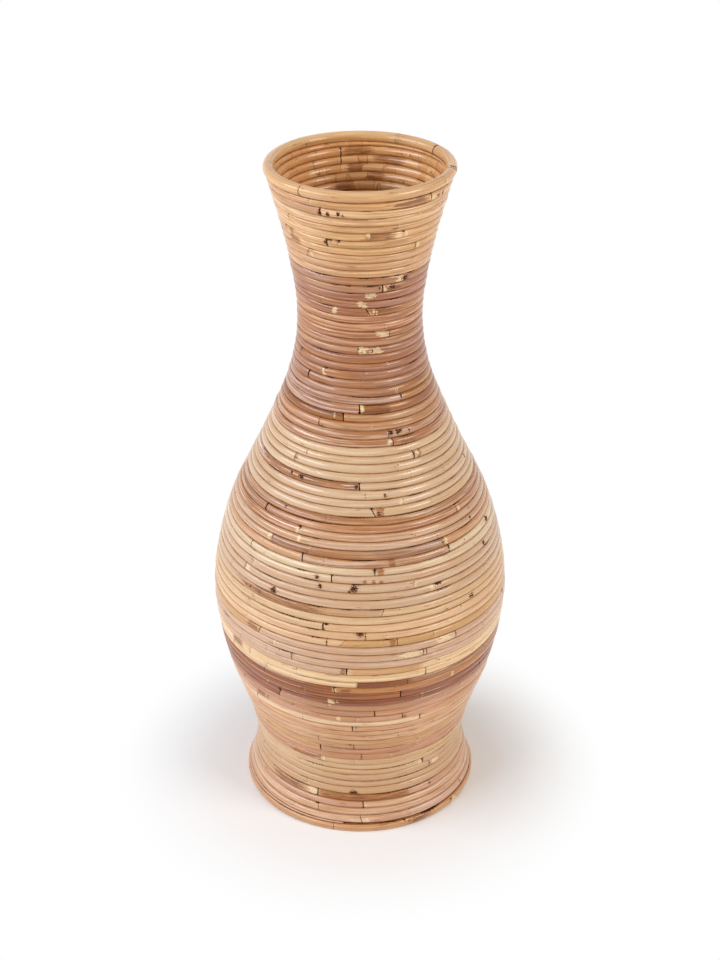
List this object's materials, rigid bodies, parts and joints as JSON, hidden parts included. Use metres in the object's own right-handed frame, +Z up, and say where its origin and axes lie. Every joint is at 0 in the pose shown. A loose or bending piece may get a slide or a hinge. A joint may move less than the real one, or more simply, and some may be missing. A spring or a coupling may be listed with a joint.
{
  "type": "vase",
  "caption": "Tall floor vase of coiled rattan cane: flared foot, round belly, narrow neck and flared open mouth.",
  "frame": {"origin": "middle of the foot on the floor plane", "axes": "+Z up through the mouth; -Y towards the front; +X to the right seen from the front"},
  "size_m": [0.3512, 0.3474, 0.8],
  "materials": {
    "tan_rattan": "satin",
    "bark_rattan": "satin",
    "straw_rattan": "satin",
    "brown_rattan": "satin",
    "rosy_rattan": "satin",
    "golden_rattan": "satin",
    "honey_rattan": "satin",
    "plywood": "matte"
  },
  "bodies": {
    "root": {"foot_cane_1": "tan_rattan", "foot_cane_2": "tan_rattan", "foot_cane_3": "tan_rattan", "foot_cane_4": "tan_rattan", "waist_cane_1": "straw_rattan", "waist_cane_2": "straw_rattan", "under_belly_cane_1": "tan_rattan", "under_belly_cane_2": "tan_rattan", "under_belly_cane_3": "tan_rattan", "under_belly_cane_4": "tan_rattan", "under_belly_cane_pale": "straw_rattan", "under_belly_cane_5": "tan_rattan", "under_belly_cane_6": "tan_rattan", "dark_cane_1": "brown_rattan", "dark_cane_2": "brown_rattan", "dark_cane_golden": "golden_rattan", "dark_cane_3": "brown_rattan", "low_straw_cane_1": "straw_rattan", "low_straw_cane_2": "straw_rattan", "low_straw_cane_3": "straw_rattan", "low_straw_cane_4": "straw_rattan", "low_straw_cane_5": "straw_rattan", "low_straw_cane_6": "straw_rattan", "low_straw_cane_7": "straw_rattan", "belly_cane_1": "rosy_rattan", "belly_cane_tan_1": "tan_rattan", "belly_cane_2": "rosy_rattan", "belly_cane_tan_2": "tan_rattan", "belly_cane_3": "rosy_rattan", "belly_cane_4": "rosy_rattan", "high_straw_cane_1": "straw_rattan", "high_straw_cane_2": "straw_rattan", "high_straw_cane_bark": "bark_rattan", "high_straw_cane_3": "straw_rattan", "high_straw_cane_4": "straw_rattan", "shoulder_cane_1": "rosy_rattan", "shoulder_cane_2": "rosy_rattan", "shoulder_cane_golden": "golden_rattan", "shoulder_cane_3": "rosy_rattan", "shoulder_cane_4": "rosy_rattan", "neck_cane_1": "rosy_rattan", "neck_cane_2": "rosy_rattan", "neck_cane_3": "rosy_rattan", "neck_cane_4": "rosy_rattan", "neck_cane_5": "rosy_rattan", "neck_cane_6": "rosy_rattan", "throat_cane_1": "honey_rattan", "throat_cane_2": "honey_rattan", "throat_cane_3": "honey_rattan", "throat_cane_4": "honey_rattan", "throat_cane_5": "honey_rattan", "throat_cane_tip": "honey_rattan", "rim_cane_front": "honey_rattan", "rim_cane_left": "honey_rattan", "rim_cane_back": "honey_rattan", "rim_cane_right": "honey_rattan", "foot_hoop_front": "tan_rattan", "foot_hoop_back": "tan_rattan", "foot_panel": "plywood"}
  },
  "joints": []
}
